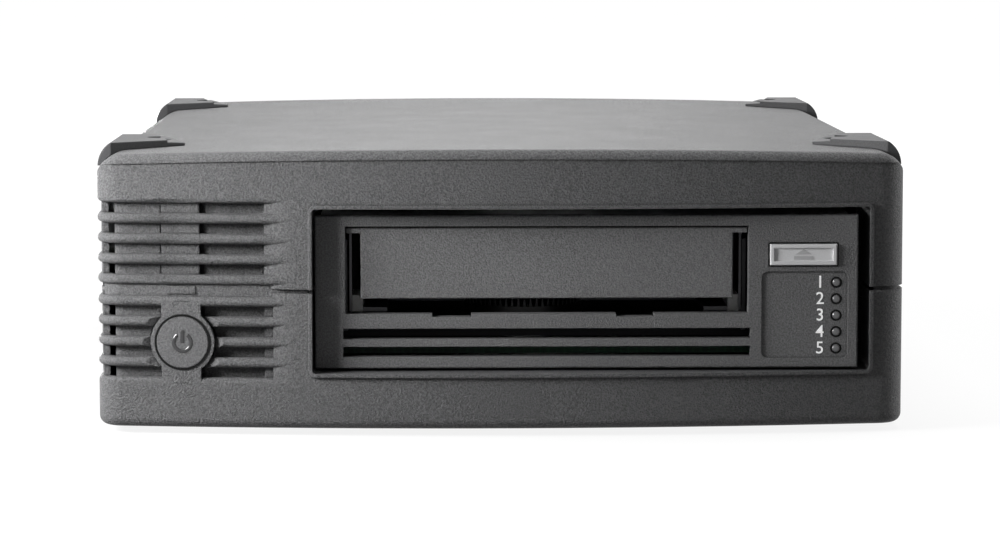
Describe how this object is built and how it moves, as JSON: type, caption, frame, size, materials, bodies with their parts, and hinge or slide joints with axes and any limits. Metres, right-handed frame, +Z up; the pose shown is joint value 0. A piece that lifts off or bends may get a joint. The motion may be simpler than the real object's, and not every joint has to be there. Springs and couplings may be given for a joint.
{
  "type": "external tape drive",
  "caption": "Desktop data tape drive in a bowed two-part housing: ribbed vent, round power button, cartridge slot with a swing-in door, eject button and status lights.",
  "frame": {"origin": "on the table, below the middle of the overall box", "axes": "+X to the right seen from the front, +Y to the back, +Z up"},
  "size_m": [0.2236, 0.29, 0.0792],
  "materials": {
    "bezel_plastic": "fine-textured dark grey",
    "black_plastic": "black moulding",
    "board_green": "green circuit board",
    "button_plastic": "satin charcoal",
    "cable_black": "black cable jacket",
    "capacitor_can": "sleeved cans",
    "cast_metal": "as-cast",
    "eject_plastic": "satin silver grey",
    "enclosure_plastic": "fine-textured charcoal ABS",
    "grey_plastic": "light grey acetal",
    "lens_clear": "smoked light guides",
    "pad_rubber": "dark moulded rubber",
    "panel_steel": "satin black paint",
    "screw_steel": "bright",
    "sheet_steel": "zinc-plated sheet",
    "transformer_tape": "yellow winding tape on a ferrite core",
    "white_plastic": "natural acetal"
  },
  "bodies": {
    "enclosure": {"base_shell": "enclosure_plastic", "data_cable": "cable_black", "data_socket": "sheet_steel", "drive_bezel": "bezel_plastic", "drive_board": "board_green", "drive_chassis": "cast_metal", "drive_connector": "black_plastic", "drive_lid": "sheet_steel", "drive_rail_left": "sheet_steel", "drive_rail_right": "sheet_steel", "drive_screws": "screw_steel", "fan_frame": "black_plastic", "fan_lead": "cable_black", "fan_screws": "screw_steel", "foot_front_left": "pad_rubber", "foot_front_right": "pad_rubber", "foot_rear_left": "pad_rubber", "foot_rear_right": "pad_rubber", "front_board": "board_green", "head_actuator": "black_plastic", "inlet_screws": "screw_steel", "mains_inlet": "black_plastic", "pad_front_left": "pad_rubber", "pad_front_right": "pad_rubber", "pad_rear_left": "pad_rubber", "pad_rear_right": "pad_rubber", "power_harness": "cable_black", "rear_panel": "panel_steel", "reel_motor": "sheet_steel", "shell_screws": "screw_steel", "status_lenses": "lens_clear", "supply_board": "board_green", "supply_capacitors": "capacitor_can", "supply_heatsink_front": "cast_metal", "supply_heatsink_rear": "cast_metal", "supply_transformer": "transformer_tape", "switch_board": "board_green", "switch_lead": "cable_black", "takeup_motor": "sheet_steel", "top_cover": "enclosure_plastic", "vent_baffle": "enclosure_plastic"},
    "power_button": {"power_button": "button_plastic"},
    "eject_button": {"eject_button": "eject_plastic"},
    "door": {"cartridge_door": "bezel_plastic"},
    "fan": {"fan_rotor": "black_plastic"},
    "supply_reel_drive": {"reel_driver": "black_plastic"},
    "takeup": {"takeup_reel": "white_plastic"},
    "slider": {"tray_slider": "sheet_steel"},
    "tray": {"cartridge_tray": "sheet_steel", "lead_in_left": "grey_plastic", "lead_in_right": "grey_plastic"},
    "head": {"head_carriage": "cast_metal", "tape_head": "screw_steel"},
    "roller_1": {"guide_roller_1": "white_plastic"},
    "roller_2": {"guide_roller_2": "white_plastic"},
    "roller_3": {"guide_roller_3": "white_plastic"},
    "roller_4": {"guide_roller_4": "white_plastic"}
  },
  "joints": [
    {"name": "power_press", "type": "slide", "parent": "enclosure", "child": "power_button", "axis": [0, 1, 0], "range_m": [0, 0.002], "stiffness_N_per_m": 400},
    {"name": "eject_press", "type": "slide", "parent": "enclosure", "child": "eject_button", "axis": [0, 1, 0], "range_m": [0, 0.0012], "stiffness_N_per_m": 400},
    {"name": "door_swing", "type": "hinge", "parent": "enclosure", "child": "door", "pos_m": [0.01245, -0.1354, 0.0562], "axis": [1, 0, 0], "range_deg": [0, 82], "stiffness_Nm_per_rad": 0.002},
    {"name": "fan_spin", "type": "hinge", "parent": "enclosure", "child": "fan", "pos_m": [0.02, 0.1335, 0.041], "axis": [0, 1, 0], "continuous": true},
    {"name": "supply_reel_spin", "type": "hinge", "parent": "enclosure", "child": "supply_reel_drive", "pos_m": [0.0076, -0.07, 0.025], "axis": [0, 0, 1], "continuous": true},
    {"name": "takeup_spin", "type": "hinge", "parent": "enclosure", "child": "takeup", "pos_m": [-0.004, 0.022, 0.036], "axis": [0, 0, 1], "continuous": true},
    {"name": "slider_travel", "type": "slide", "parent": "enclosure", "child": "slider", "axis": [0, 1, 0], "range_m": [0, 0.009]},
    {"name": "tray_lower", "type": "slide", "parent": "enclosure", "child": "tray", "axis": [0, 0, -1], "range_m": [0, 0.003]},
    {"name": "head_step", "type": "slide", "parent": "enclosure", "child": "head", "axis": [0, 0, 1], "range_m": [-0.004, 0.004]},
    {"name": "roller_1_spin", "type": "hinge", "parent": "enclosure", "child": "roller_1", "pos_m": [0.052, -0.008, 0.042], "axis": [0, 0, 1], "continuous": true},
    {"name": "roller_2_spin", "type": "hinge", "parent": "enclosure", "child": "roller_2", "pos_m": [0.064, 0.01, 0.042], "axis": [0, 0, 1], "continuous": true},
    {"name": "roller_3_spin", "type": "hinge", "parent": "enclosure", "child": "roller_3", "pos_m": [0.064, 0.036, 0.042], "axis": [0, 0, 1], "continuous": true},
    {"name": "roller_4_spin", "type": "hinge", "parent": "enclosure", "child": "roller_4", "pos_m": [0.05, 0.052, 0.042], "axis": [0, 0, 1], "continuous": true}
  ],
  "couplings": [
    {"joint": "tray_lower", "follows": "slider_travel", "ratio": 0.33333}
  ]
}
